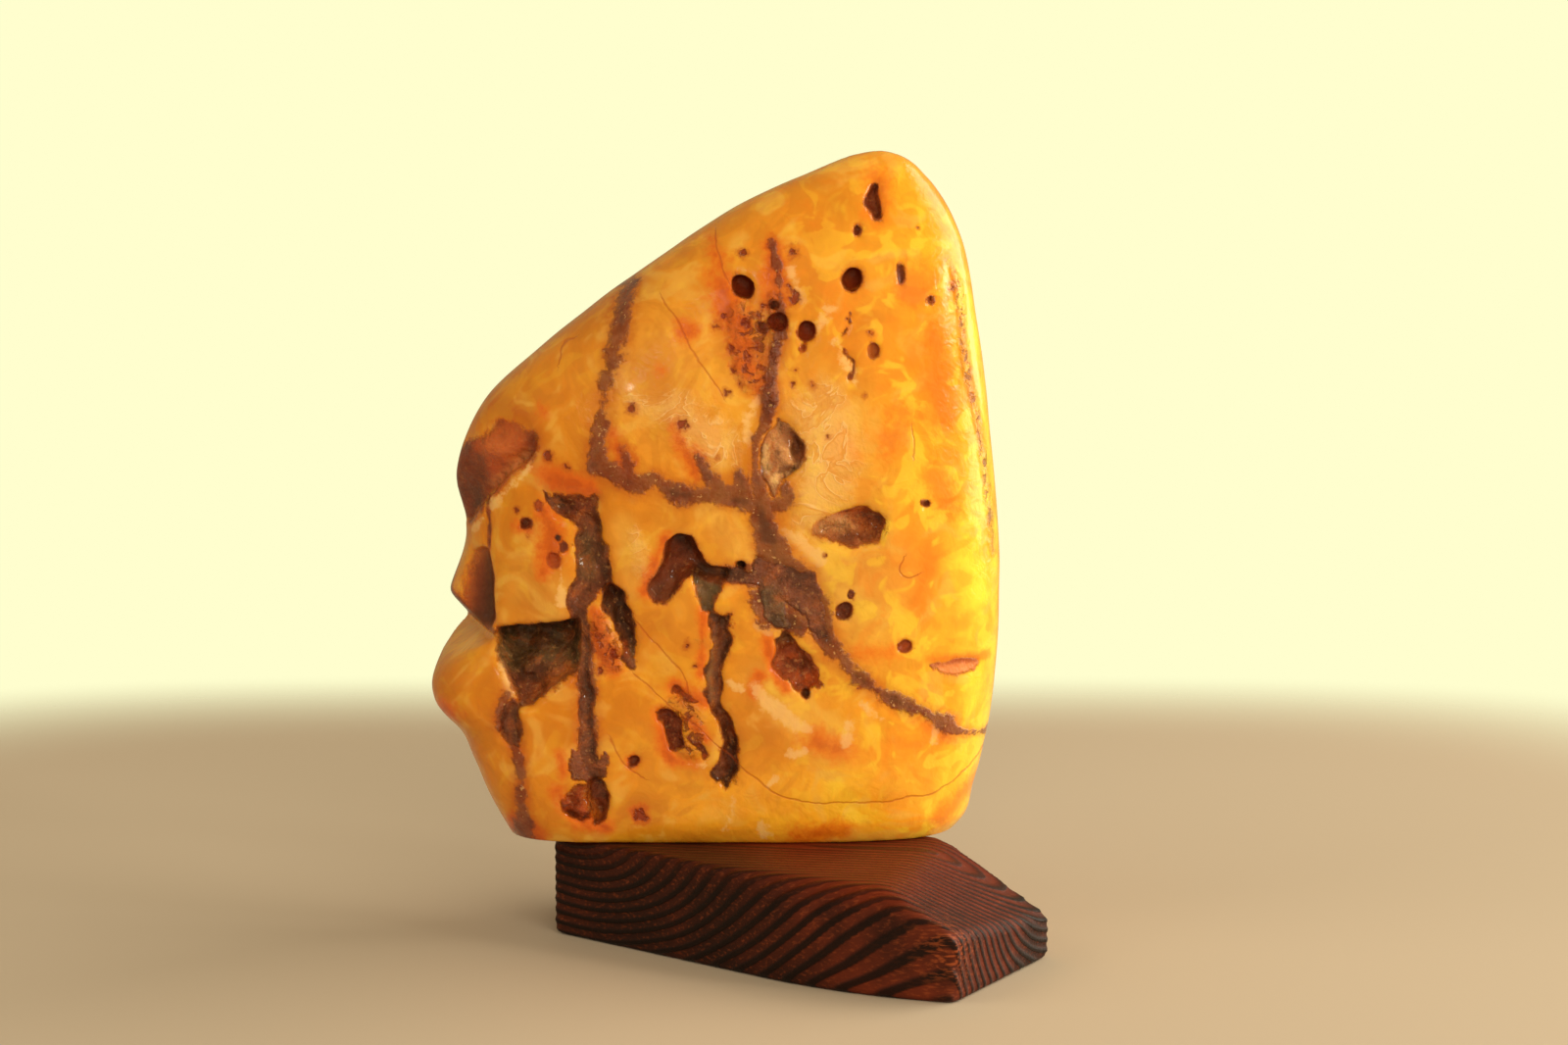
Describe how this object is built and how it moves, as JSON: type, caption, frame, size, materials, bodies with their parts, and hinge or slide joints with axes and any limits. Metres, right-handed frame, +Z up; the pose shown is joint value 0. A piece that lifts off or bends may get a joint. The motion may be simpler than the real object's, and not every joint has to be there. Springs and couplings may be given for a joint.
{
  "type": "amber nugget on a wooden stand",
  "caption": "Opaque butterscotch amber nugget with clefts, pits and dark veins, standing upright on a low bevelled block of dark brushed wood.",
  "frame": {"origin": "centre of the bounding box on the plane that the stand rests on", "axes": "+Z up, -Y is the nugget's front, +X is to the right seen from the front"},
  "size_m": [0.1052, 0.0794, 0.1337],
  "materials": {
    "stained_wood": "dark stained and brushed softwood, satin",
    "butterscotch_amber": "polished opaque amber with matt brown crust in the clefts"
  },
  "bodies": {
    "root": {"wooden_stand": "stained_wood", "amber_nugget": "butterscotch_amber"}
  },
  "joints": []
}
